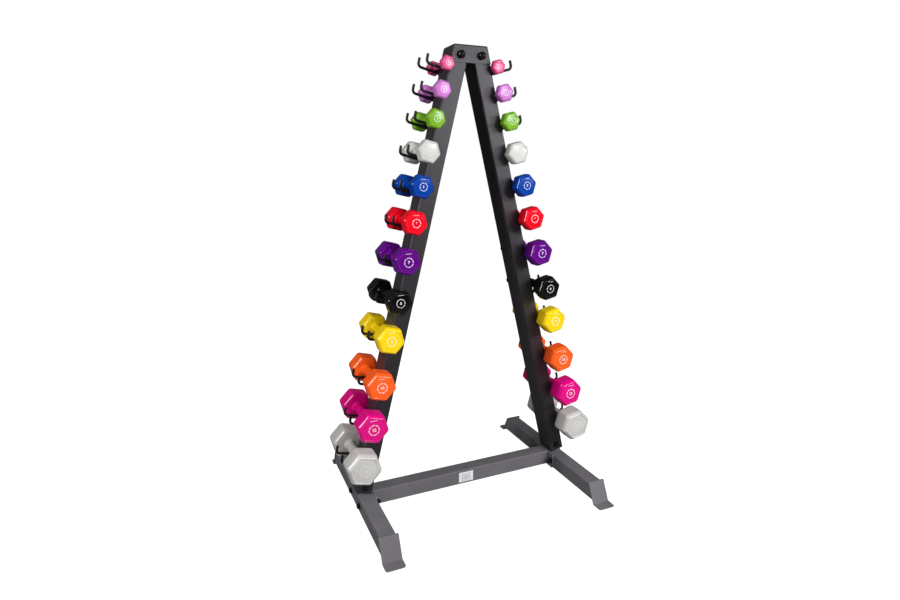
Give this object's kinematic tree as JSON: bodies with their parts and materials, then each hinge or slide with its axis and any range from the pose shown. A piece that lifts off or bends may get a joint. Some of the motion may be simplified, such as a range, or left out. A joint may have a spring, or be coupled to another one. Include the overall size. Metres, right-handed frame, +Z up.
{
  "type": "dumbbell rack",
  "caption": "Free-standing two-sided dumbbell rack: leaning uprights over an H base, with rows of hook pairs that each hold one hexagonal dumbbell.",
  "frame": {"origin": "on the floor, below the middle of the rack", "axes": "+X along the cross tube to the right, +Y from front to back, +Z up"},
  "size_m": [0.8764, 0.676, 1.4285],
  "materials": {
    "base_powder_coat": "fine textured grey powder coat",
    "upright_powder_coat": "satin black powder coat",
    "hook_coat": "black coated rod",
    "fastener_steel": "black oxide steel",
    "cover_plastic": "black domed plastic",
    "label": "plain pale film",
    "vinyl_pink": "smooth glossy vinyl dipped over cast iron",
    "vinyl_lavender": "smooth glossy vinyl dipped over cast iron",
    "vinyl_lime": "smooth glossy vinyl dipped over cast iron",
    "vinyl_white": "smooth glossy vinyl dipped over cast iron",
    "vinyl_blue": "smooth glossy vinyl dipped over cast iron",
    "vinyl_red": "smooth glossy vinyl dipped over cast iron",
    "vinyl_purple": "smooth glossy vinyl dipped over cast iron",
    "vinyl_black": "smooth glossy vinyl dipped over cast iron",
    "vinyl_yellow": "smooth glossy vinyl dipped over cast iron",
    "vinyl_orange": "smooth glossy vinyl dipped over cast iron",
    "vinyl_magenta": "smooth glossy vinyl dipped over cast iron",
    "vinyl_grey": "smooth glossy vinyl dipped over cast iron"
  },
  "bodies": {
    "root": {"base_rail_left": "base_powder_coat", "base_rail_right": "base_powder_coat", "foot_plate_left_front": "base_powder_coat", "foot_plate_left_rear": "base_powder_coat", "foot_plate_right_front": "base_powder_coat", "foot_plate_right_rear": "base_powder_coat", "cross_tube": "base_powder_coat", "cross_tube_end_plate_left": "base_powder_coat", "cross_tube_end_plate_right": "base_powder_coat", "upright_left": "upright_powder_coat", "upright_right": "upright_powder_coat", "upright_socket_left": "base_powder_coat", "upright_socket_right": "base_powder_coat", "top_bracket": "upright_powder_coat", "hooks_left_front": "hook_coat", "hooks_left_rear": "hook_coat", "hooks_right_front": "hook_coat", "hooks_right_rear": "hook_coat", "base_bolts": "fastener_steel", "base_washers": "fastener_steel", "base_nuts": "fastener_steel", "socket_bolts": "fastener_steel", "socket_washers": "fastener_steel", "socket_nuts": "fastener_steel", "bracket_bolts": "fastener_steel", "bracket_washers": "fastener_steel", "bracket_nuts": "fastener_steel", "bolt_covers": "cover_plastic", "label_plate": "label"},
    "dumbbell_left_1lb": {"dumbbell_left_1lb": "vinyl_pink"},
    "dumbbell_left_2lb": {"dumbbell_left_2lb": "vinyl_lavender"},
    "dumbbell_left_3lb": {"dumbbell_left_3lb": "vinyl_lime"},
    "dumbbell_left_4lb": {"dumbbell_left_4lb": "vinyl_white"},
    "dumbbell_left_5lb": {"dumbbell_left_5lb": "vinyl_blue"},
    "dumbbell_left_6lb": {"dumbbell_left_6lb": "vinyl_red"},
    "dumbbell_left_7lb": {"dumbbell_left_7lb": "vinyl_purple"},
    "dumbbell_left_8lb": {"dumbbell_left_8lb": "vinyl_black"},
    "dumbbell_left_9lb": {"dumbbell_left_9lb": "vinyl_yellow"},
    "dumbbell_left_10lb": {"dumbbell_left_10lb": "vinyl_orange"},
    "dumbbell_left_12lb": {"dumbbell_left_12lb": "vinyl_magenta"},
    "dumbbell_left_15lb": {"dumbbell_left_15lb": "vinyl_grey"},
    "dumbbell_right_1lb": {"dumbbell_right_1lb": "vinyl_pink"},
    "dumbbell_right_2lb": {"dumbbell_right_2lb": "vinyl_lavender"},
    "dumbbell_right_3lb": {"dumbbell_right_3lb": "vinyl_lime"},
    "dumbbell_right_4lb": {"dumbbell_right_4lb": "vinyl_white"},
    "dumbbell_right_5lb": {"dumbbell_right_5lb": "vinyl_blue"},
    "dumbbell_right_6lb": {"dumbbell_right_6lb": "vinyl_red"},
    "dumbbell_right_7lb": {"dumbbell_right_7lb": "vinyl_purple"},
    "dumbbell_right_8lb": {"dumbbell_right_8lb": "vinyl_black"},
    "dumbbell_right_9lb": {"dumbbell_right_9lb": "vinyl_yellow"},
    "dumbbell_right_10lb": {"dumbbell_right_10lb": "vinyl_orange"},
    "dumbbell_right_12lb": {"dumbbell_right_12lb": "vinyl_magenta"},
    "dumbbell_right_15lb": {"dumbbell_right_15lb": "vinyl_grey"}
  },
  "joints": [
    {"name": "lift_left_1lb", "type": "slide", "parent": "root", "child": "dumbbell_left_1lb", "axis": [-0.6943, 0, 0.7197], "range_m": [0, 0.15]},
    {"name": "lift_left_2lb", "type": "slide", "parent": "root", "child": "dumbbell_left_2lb", "axis": [-0.6943, 0, 0.7197], "range_m": [0, 0.15]},
    {"name": "lift_left_3lb", "type": "slide", "parent": "root", "child": "dumbbell_left_3lb", "axis": [-0.6943, 0, 0.7197], "range_m": [0, 0.15]},
    {"name": "lift_left_4lb", "type": "slide", "parent": "root", "child": "dumbbell_left_4lb", "axis": [-0.6943, 0, 0.7197], "range_m": [0, 0.15]},
    {"name": "lift_left_5lb", "type": "slide", "parent": "root", "child": "dumbbell_left_5lb", "axis": [-0.6943, 0, 0.7197], "range_m": [0, 0.15]},
    {"name": "lift_left_6lb", "type": "slide", "parent": "root", "child": "dumbbell_left_6lb", "axis": [-0.6943, 0, 0.7197], "range_m": [0, 0.15]},
    {"name": "lift_left_7lb", "type": "slide", "parent": "root", "child": "dumbbell_left_7lb", "axis": [-0.6943, 0, 0.7197], "range_m": [0, 0.15]},
    {"name": "lift_left_8lb", "type": "slide", "parent": "root", "child": "dumbbell_left_8lb", "axis": [-0.6943, 0, 0.7197], "range_m": [0, 0.15]},
    {"name": "lift_left_9lb", "type": "slide", "parent": "root", "child": "dumbbell_left_9lb", "axis": [-0.6943, 0, 0.7197], "range_m": [0, 0.15]},
    {"name": "lift_left_10lb", "type": "slide", "parent": "root", "child": "dumbbell_left_10lb", "axis": [-0.6943, 0, 0.7197], "range_m": [0, 0.15]},
    {"name": "lift_left_12lb", "type": "slide", "parent": "root", "child": "dumbbell_left_12lb", "axis": [-0.6943, 0, 0.7197], "range_m": [0, 0.15]},
    {"name": "lift_left_15lb", "type": "slide", "parent": "root", "child": "dumbbell_left_15lb", "axis": [-0.6943, 0, 0.7197], "range_m": [0, 0.15]},
    {"name": "lift_right_1lb", "type": "slide", "parent": "root", "child": "dumbbell_right_1lb", "axis": [0.6943, 0, 0.7197], "range_m": [0, 0.15]},
    {"name": "lift_right_2lb", "type": "slide", "parent": "root", "child": "dumbbell_right_2lb", "axis": [0.6943, 0, 0.7197], "range_m": [0, 0.15]},
    {"name": "lift_right_3lb", "type": "slide", "parent": "root", "child": "dumbbell_right_3lb", "axis": [0.6943, 0, 0.7197], "range_m": [0, 0.15]},
    {"name": "lift_right_4lb", "type": "slide", "parent": "root", "child": "dumbbell_right_4lb", "axis": [0.6943, 0, 0.7197], "range_m": [0, 0.15]},
    {"name": "lift_right_5lb", "type": "slide", "parent": "root", "child": "dumbbell_right_5lb", "axis": [0.6943, 0, 0.7197], "range_m": [0, 0.15]},
    {"name": "lift_right_6lb", "type": "slide", "parent": "root", "child": "dumbbell_right_6lb", "axis": [0.6943, 0, 0.7197], "range_m": [0, 0.15]},
    {"name": "lift_right_7lb", "type": "slide", "parent": "root", "child": "dumbbell_right_7lb", "axis": [0.6943, 0, 0.7197], "range_m": [0, 0.15]},
    {"name": "lift_right_8lb", "type": "slide", "parent": "root", "child": "dumbbell_right_8lb", "axis": [0.6943, 0, 0.7197], "range_m": [0, 0.15]},
    {"name": "lift_right_9lb", "type": "slide", "parent": "root", "child": "dumbbell_right_9lb", "axis": [0.6943, 0, 0.7197], "range_m": [0, 0.15]},
    {"name": "lift_right_10lb", "type": "slide", "parent": "root", "child": "dumbbell_right_10lb", "axis": [0.6943, 0, 0.7197], "range_m": [0, 0.15]},
    {"name": "lift_right_12lb", "type": "slide", "parent": "root", "child": "dumbbell_right_12lb", "axis": [0.6943, 0, 0.7197], "range_m": [0, 0.15]},
    {"name": "lift_right_15lb", "type": "slide", "parent": "root", "child": "dumbbell_right_15lb", "axis": [0.6943, 0, 0.7197], "range_m": [0, 0.15]}
  ]
}
